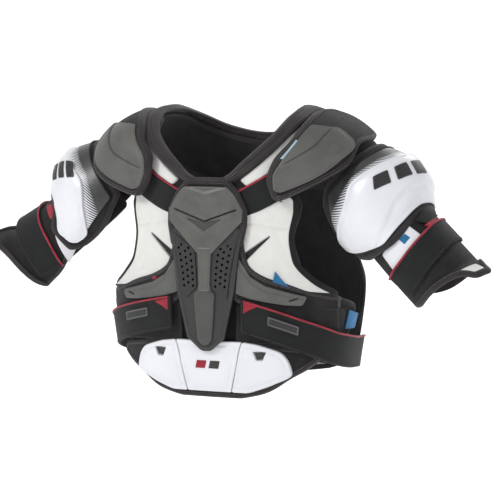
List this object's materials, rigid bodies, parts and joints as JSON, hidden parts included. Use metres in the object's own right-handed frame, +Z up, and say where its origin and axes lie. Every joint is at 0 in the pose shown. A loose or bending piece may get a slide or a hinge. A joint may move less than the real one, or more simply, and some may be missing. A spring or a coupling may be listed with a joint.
{
  "type": "ice hockey shoulder pads",
  "caption": "Padded hockey shoulder vest with moulded sternum and back plates, floating shoulder caps, hinged arm guards, belly pad and elastic straps.",
  "frame": {"origin": "top of the wearer's shoulders, midway between the arms, at the middle of the neck opening", "axes": "+Z up, chest faces -Y, +X towards the wearer's left arm"},
  "size_m": [0.902, 0.3106, 0.4708],
  "materials": {
    "dark_plate": "satin moulded",
    "elastic": "ribbed elastic",
    "fade_panel": "hatched print",
    "grey_plate": "satin moulded",
    "lining": "matte knit",
    "padding_cover": "brushed nylon over foam",
    "red_trim": "smooth",
    "white_foam": "laminated foam",
    "white_shell": "satin laminate"
  },
  "bodies": {
    "torso": {"front_lining": "lining", "back_lining": "lining", "yoke_left": "padding_cover", "yoke_right": "padding_cover", "collar_left": "padding_cover", "collar_right": "padding_cover", "collar_back": "padding_cover", "chest_foam_left": "white_foam", "chest_foam_right": "white_foam", "clavicle_strip_left": "white_foam", "clavicle_strip_right": "white_foam", "clavicle_webbing_left": "elastic", "clavicle_webbing_right": "elastic", "sternum_base": "dark_plate", "sternum_head": "grey_plate", "sternum_keel": "grey_plate", "sternum_insert": "grey_plate", "sternum_vent_left": "dark_plate", "sternum_vent_right": "dark_plate", "rib_wing_left": "grey_plate", "rib_wing_right": "grey_plate", "loop_panel_left": "lining", "loop_panel_right": "lining", "spine_plate_upper": "grey_plate", "spine_plate_lower": "grey_plate", "shoulder_blade_pad_left": "white_foam", "shoulder_blade_pad_right": "white_foam", "kidney_pad_left": "white_foam", "kidney_pad_right": "white_foam"},
    "belly": {"belly_base": "padding_cover", "belly_shell_center": "white_shell", "belly_shell_left": "white_shell", "belly_shell_right": "white_shell"},
    "torso_strap_left": {"torso_strap_left": "elastic", "strap_tab_left": "dark_plate"},
    "torso_strap_right": {"torso_strap_right": "elastic", "strap_tab_right": "dark_plate"},
    "lower_back": {"lower_back_pad": "white_foam"},
    "shoulder_cap_left": {"cap_pad_left": "padding_cover", "cap_shell_left": "grey_plate"},
    "shoulder_cap_right": {"cap_pad_right": "padding_cover", "cap_shell_right": "grey_plate"},
    "arm_link_left": {"deltoid_flap_left": "padding_cover"},
    "arm_link_right": {"deltoid_flap_right": "padding_cover"},
    "arm_left": {"arm_lining_left": "padding_cover", "bicep_core_left": "padding_cover", "bicep_shell_left": "white_shell", "shoulder_panel_left": "fade_panel"},
    "arm_right": {"arm_lining_right": "padding_cover", "bicep_core_right": "padding_cover", "bicep_shell_right": "white_shell", "shoulder_panel_right": "fade_panel"},
    "arm_strap_left": {"arm_strap_left": "elastic", "arm_strap_tab_left": "red_trim"},
    "arm_strap_right": {"arm_strap_right": "elastic", "arm_strap_tab_right": "red_trim"}
  },
  "joints": [
    {"name": "shoulder_cap_lift_left", "type": "hinge", "parent": "torso", "child": "shoulder_cap_left", "pos_m": [0.118, -0.05, 0.012], "axis": [0, -1, 0], "range_deg": [0, 38]},
    {"name": "arm_raise_left", "type": "hinge", "parent": "torso", "child": "arm_link_left", "pos_m": [0.174, -0.006, -0.081], "axis": [0, -1, 0], "range_deg": [0, 38]},
    {"name": "arm_turn_left", "type": "hinge", "parent": "arm_link_left", "child": "arm_left", "pos_m": [0.174, -0.006, -0.081], "axis": [0.7269, -0.1545, -0.6691], "range_deg": [-20, 20]},
    {"name": "arm_strap_open_left", "type": "hinge", "parent": "arm_left", "child": "arm_strap_left", "pos_m": [0.36363, -0.00953, -0.18205], "axis": [-0.7269, 0.1545, 0.6691], "range_deg": [0, 60]},
    {"name": "torso_strap_open_left", "type": "hinge", "parent": "torso", "child": "torso_strap_left", "pos_m": [0.185, 0.059, -0.388], "axis": [0, 0, 1], "range_deg": [0, 65]},
    {"name": "shoulder_cap_lift_right", "type": "hinge", "parent": "torso", "child": "shoulder_cap_right", "pos_m": [-0.118, -0.05, 0.012], "axis": [0, 1, 0], "range_deg": [0, 38]},
    {"name": "arm_raise_right", "type": "hinge", "parent": "torso", "child": "arm_link_right", "pos_m": [-0.174, -0.006, -0.081], "axis": [0, 1, 0], "range_deg": [0, 38]},
    {"name": "arm_turn_right", "type": "hinge", "parent": "arm_link_right", "child": "arm_right", "pos_m": [-0.174, -0.006, -0.081], "axis": [0.766, 0, 0.6428], "range_deg": [-20, 20]},
    {"name": "arm_strap_open_right", "type": "hinge", "parent": "arm_right", "child": "arm_strap_right", "pos_m": [-0.36363, 0.02997, -0.17549], "axis": [-0.766, 0, -0.6428], "range_deg": [0, 60]},
    {"name": "torso_strap_open_right", "type": "hinge", "parent": "torso", "child": "torso_strap_right", "pos_m": [-0.185, 0.059, -0.388], "axis": [0, 0, -1], "range_deg": [0, 65]},
    {"name": "belly_flip", "type": "hinge", "parent": "torso", "child": "belly", "pos_m": [0, -0.116, -0.369], "axis": [1, 0, 0], "range_deg": [-4, 20]},
    {"name": "lower_back_flip", "type": "hinge", "parent": "torso", "child": "lower_back", "pos_m": [0, 0.132, -0.338], "axis": [1, 0, 0], "range_deg": [0, 35]}
  ],
  "couplings": [
    {"joint": "shoulder_cap_lift_left", "follows": "arm_raise_left", "ratio": 1},
    {"joint": "shoulder_cap_lift_right", "follows": "arm_raise_right", "ratio": 1}
  ]
}
